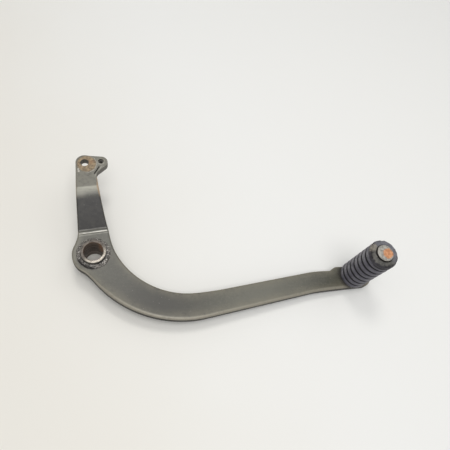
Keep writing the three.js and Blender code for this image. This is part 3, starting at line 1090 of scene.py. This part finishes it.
def tube_steel():
    m = Shader("worn_tube_steel")
    mottle = m.noise(1.8, 4, 0.65, shift=4.2)
    blotch = m.noise(4.5, 3, 0.6, shift=8.3)
    grain = m.noise(0.45, 3, 0.7, shift=6.1)
    radius = m.reach(PIVOT)
    height = m.along((0, 0, 1))
    m.colour = m.mix(m.step(mottle, 0.35, 0.65), (0.045, 0.038, 0.034), (0.19, 0.168, 0.148))
    rubbed = m.step(m.along(RUBBED_SIDE), 0.0, 7.0)
    m.paint((0.66, 0.61, 0.53), rubbed, m.step(blotch, 0.25, 0.5), 0.85)
    specks = m.step(m.noise(0.9, 3, 0.7, shift=2.6), 0.54, 0.64)
    m.paint((0.13, 0.1, 0.08), specks, 0.7)
    # painted highlight on the rim's two chamfered lips, mottled
    off_middle = m.math("ABSOLUTE", m.less(radius, TUBE_RIM))
    lip = m.step(off_middle, 0.68, 0.82)
    m.paint((0.62, 0.58, 0.52), lip, m.step(blotch, 0.35, 0.55), 0.6)

    wall = m.step(radius, BORE_RADIUS + 0.6, BORE_RADIUS + 0.1)
    wall = m.all_of(wall, m.step(height, TUBE_LENGTH, TUBE_LENGTH - 0.7))
    rings = m.noise(0.9, 2, 0.5, stretch=(60, 60, 1), shift=3.3)
    bore = m.mix(m.step(rings, 0.45, 0.7), (0.09, 0.062, 0.048), (0.24, 0.185, 0.15))
    rust_side = m.all_of(m.step(m.along((1, 0.25, 0)), 3.0, 6.4), m.step(height, 8.0, 15.0))
    rust = m.all_of(rust_side, m.step(mottle, 0.3, 0.55), 0.85)
    bore = m.mix(rust, bore, (0.5, 0.25, 0.11))
    mouth = m.all_of(m.step(height, TUBE_LENGTH - 3.5, TUBE_LENGTH - 0.8), 0.6)
    bore = m.mix(mouth, bore, (0.26, 0.17, 0.11))
    m.paint(bore, wall)

    # black paint on the tube's wall below the rim, darkened further as painted shade
    below_rim = m.step(height, TUBE_LENGTH - 0.3, TUBE_LENGTH - 0.8)
    coat_and_shade = m.all_of(m.step(radius, TUBE_RADIUS - 0.25, TUBE_RADIUS - 0.05), below_rim, 0.92)
    m.paint((0.016, 0.014, 0.012), coat_and_shade)
    metallic = m.all_of(m.less(1.0, m.most(wall, coat_and_shade)), 0.6)
    roughness = m.blend(m.step(mottle, 0.3, 0.7), 0.38, 0.6)
    bump = m.bump(grain, 0.5, 0.06, m.bump(mottle, 0.6, 0.25))
    return m.finish(roughness, metallic, bump)


def pin_steel():
    m = Shader("worn_pin_steel")
    mottle = m.noise(1.6, 4, 0.6, shift=2.4)
    grain = m.noise(0.4, 3, 0.7, shift=7.2)
    face = m.mix(m.step(mottle, 0.35, 0.65), (0.23, 0.22, 0.2), (0.46, 0.445, 0.4))
    rust_reach = m.ragged_reach(PIN_RUST, m.noise(2.2, 3, 0.6, shift=9.9), 2.8)
    patch = m.step(rust_reach, 5.7, 4.7)
    rust = m.mix(m.step(mottle, 0.4, 0.65), (0.46, 0.2, 0.095), (0.66, 0.33, 0.17))
    m.colour = m.mix(patch, face, rust)
    # painted highlight on the bevel's upper right and painted shade on its lower left
    outside = m.step(m.reach(PEG), PIN_HEAD_RADIUS - 0.4, PIN_HEAD_RADIUS - 0.15)
    highlight_side = m.step(m.past(PIN_HIGHLIGHT_SIDE, PEG), -3.46, 1.04)
    rim = m.mix(highlight_side, (0.04, 0.034, 0.03), (0.5, 0.44, 0.4))
    m.paint(rim, outside, 0.85)
    metallic = m.all_of(m.less(1.0, patch), 0.5)
    roughness = m.blend(patch, m.blend(m.step(mottle, 0.3, 0.7), 0.4, 0.55), 0.85)
    bump = m.bump(grain, 0.6, 0.08, m.bump(mottle, 0.5, 0.2))
    return m.finish(roughness, metallic, bump)


def sleeve_rubber():
    m = Shader("ribbed_rubber")
    mottle = m.noise(3.0, 4, 0.65, shift=1.9)
    grain = m.noise(0.5, 3, 0.7, shift=3.8)
    radius = m.reach(PEG)
    height = m.past((0, 0, 1), (0, 0, PLATE_TOP))
    rib = m.mix(m.step(mottle, 0.3, 0.7), (0.08, 0.077, 0.097), (0.135, 0.13, 0.155))
    rib = m.mix(m.all_of(m.step(grain, 0.55, 0.8), 0.3), rib, (0.2, 0.19, 0.2))
    # painted highlight on the sleeve's upper-left side, with rubbing on its lower-right side
    rubbed = m.step(m.past(RUBBED_SIDE, PEG), 6.5, 10.5)
    highlight_and_rub = m.most(m.step(m.past(SLEEVE_HIGHLIGHT_SIDE, PEG), 5.0, 10.5), rubbed)
    rib = m.mix(m.all_of(highlight_and_rub, m.step(mottle, 0.3, 0.6), 0.85), rib, (0.27, 0.26, 0.275))
    # painted shade: the grooves between the ribs are near-black
    crest = m.step(radius, SLEEVE_RADIUS - 1.1, SLEEVE_RADIUS - 0.45)
    m.colour = m.mix(crest, (0.008, 0.007, 0.009), rib)

    # The end face is scuffed to an olive grey; a dark band of painted shade and dirt runs round
    # just below it, deepest on the lower-right side as painted shade.
    top = SLEEVE_HIGH.z - PLATE_TOP
    # painted shade side of the sleeve's end, on its lower right
    shade_side = m.step(m.past(SLEEVE_SHADE_SIDE, PEG), -1.38, 5.62)
    edge = m.add(height, m.all_of(m.less(mottle, 0.5), 1.8))
    edge = m.less(edge, m.all_of(shade_side, 0.6))
    band = m.all_of(m.step(edge, top - 4.6, top - 3.8), m.step(edge, top - 1.0, top - 2.0), 0.85)
    deep = m.all_of(m.step(height, top - 6.0, top - 4.8), m.step(height, top - 1.0, top - 2.0))
    band = m.most(band, m.all_of(deep, shade_side, 0.9))
    m.paint((0.02, 0.018, 0.022), band)
    end = m.step(edge, top - 1.8, top - 0.7)
    scuffed = m.mix(m.step(mottle, 0.35, 0.7), (0.045, 0.044, 0.041), (0.125, 0.12, 0.107))
    fresh = m.mix(m.step(mottle, 0.3, 0.7), (0.1, 0.1, 0.115), (0.16, 0.16, 0.18))
    worn_side = m.step(m.add(m.past(SCUFFED_SIDE, PEG), m.all_of(mottle, 6.0)), -0.3, 5.7)
    m.paint(m.mix(worn_side, fresh, scuffed), end)
    tear = m.step(m.ragged_reach(SLEEVE_TEAR, mottle, 3.0), 5.5, 3.5)
    at_end = m.step(edge, top - 4.5, top - 3.0)
    m.paint((0.36, 0.32, 0.26), tear, m.step(grain, 0.4, 0.55), at_end, 0.7)
    # painted shade in the pocket round the pin's head
    pocket_shade = m.step(radius, PIN_HEAD_RADIUS + 0.6, PIN_HEAD_RADIUS + 0.25)
    m.paint((0.01, 0.009, 0.009), pocket_shade, 0.9)

    roughness = m.blend(m.step(mottle, 0.3, 0.7), 0.5, 0.68)
    bump = m.bump(grain, 0.5, 0.08, m.bump(mottle, 0.4, 0.25))
    return m.finish(roughness, 0.0, bump, specular=0.45)


def table_top():
    m = Shader("pale_table")
    tone = m.add(m.all_of(m.noise(120, 3, 0.5, shift=0.4), 60.0), m.along((0.6, 0.3, 0)))
    m.colour = m.mix(m.step(tone, -40.0, 140.0), (0.8, 0.78, 0.725), (0.85, 0.852, 0.835))
    bump = m.bump(m.noise(1.2, 2, 0.5), 0.05, 0.05)
    return m.finish(0.55, 0.0, bump, specular=0.3)


# ---- Table, light and camera ----

TABLE_UP = Vector((-0.0577, 0.0506, 0.997)).normalized()  # the lever rests on tube and peg weld
TABLE_SIZE = 3000.0


def table():
    """A large square under the lever, touching its lowest points."""
    parts = [node.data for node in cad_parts.values()]
    lowest = min(TABLE_UP.dot(v.co) for part in parts for v in part.vertices)
    side = TABLE_UP.cross(Vector((0, 1, 0))).normalized()
    ahead = TABLE_UP.cross(side)
    centre = Vector((0.1, 0, 0))
    centre += TABLE_UP * (lowest - TABLE_UP.dot(centre))
    half = TABLE_SIZE * MM / 2
    corners = []
    for i, j in ((-half, -half), (half, -half), (half, half), (-half, half)):
        corners.append(centre + side * i + ahead * j)
    mesh = bpy.data.meshes.new("table")
    mesh.from_pydata(corners, [], [(0, 1, 2, 3)])
    mesh.materials.append(table_top())
    floor = new_object("table", mesh)


TARGET = Vector((0.1, 0.0, 0.02))


def soft_light(name, direction, distance, size, power, colour):
    """A square panel, size metres across, that looks at the lever."""
    data = bpy.data.lights.new(name, "AREA")
    data.size = size
    data.energy = power
    data.color = colour
    light = new_object(name, data)
    way = Vector(direction).normalized()
    light.location = TARGET + way * distance
    light.rotation_mode = "QUATERNION"
    light.rotation_quaternion = (-way).to_track_quat("-Z", "Y")


def studio_light():
    soft_light("key_light", (-0.12, 0.4, 0.9), 1.3, 0.32, 3.1, (1.0, 0.98, 0.94))
    soft_light("ceiling_light", (0.0, -0.2, 0.98), 1.3, 0.75, 7.7, (1.0, 0.99, 0.97))
    soft_light("right_light", (0.44, 0.32, 0.84), 1.5, 0.9, 2.1, (1.0, 0.99, 0.96))
    soft_light("left_light", (-0.5, 0.04, 0.85), 1.5, 0.8, 1.0, (1.0, 0.98, 0.95))
    world = bpy.data.worlds.new("room")
    world.use_nodes = True
    back = world.node_tree.nodes["Background"]
    back.inputs["Color"].default_value = (0.98, 0.985, 1.0, 1)
    back.inputs["Strength"].default_value = 0.37
    bpy.context.scene.world = world
    bpy.context.scene.view_settings.view_transform = "Standard"


CAMERA_AT = Vector((31.6, -116.8, 333.2)) * MM
CAMERA_LOOKS = Vector((0.1882, 0.4220, -0.8869))
CAMERA_UP = Vector((-0.0876, 0.9066, 0.4128))
CAMERA_LENS = 35.2


def camera():
    data = bpy.data.cameras.new("camera")
    data.lens = CAMERA_LENS
    data.sensor_width = 36.0
    data.clip_start = 0.01
    data.clip_end = 20.0
    eye = new_object("camera", data)
    right = CAMERA_LOOKS.cross(CAMERA_UP).normalized()
    up = right.cross(CAMERA_LOOKS).normalized()
    back = -CAMERA_LOOKS.normalized()
    turn = Matrix((right, up, back)).transposed()
    eye.matrix_world = Matrix.LocRotScale(CAMERA_AT, turn.to_quaternion(), None)
    bpy.context.scene.camera = eye


# ---- The scene ----

camera()
studio_light()
table()

weld_look = weld_paint()
lever_plate(plate_paint())
pivot_tube(tube_steel())
weld_bead("pivot_weld_front", "pivot_weld_outer", weld_look, PLATE_TOP, 1, 27, 2.0)
weld_bead("pivot_weld_back", "pivot_weld_inner", weld_look, PLATE_BACK, -1, 25, 5.0)
peg_weld(weld_look)
peg_pin(pin_steel())
peg_sleeve(sleeve_rubber())
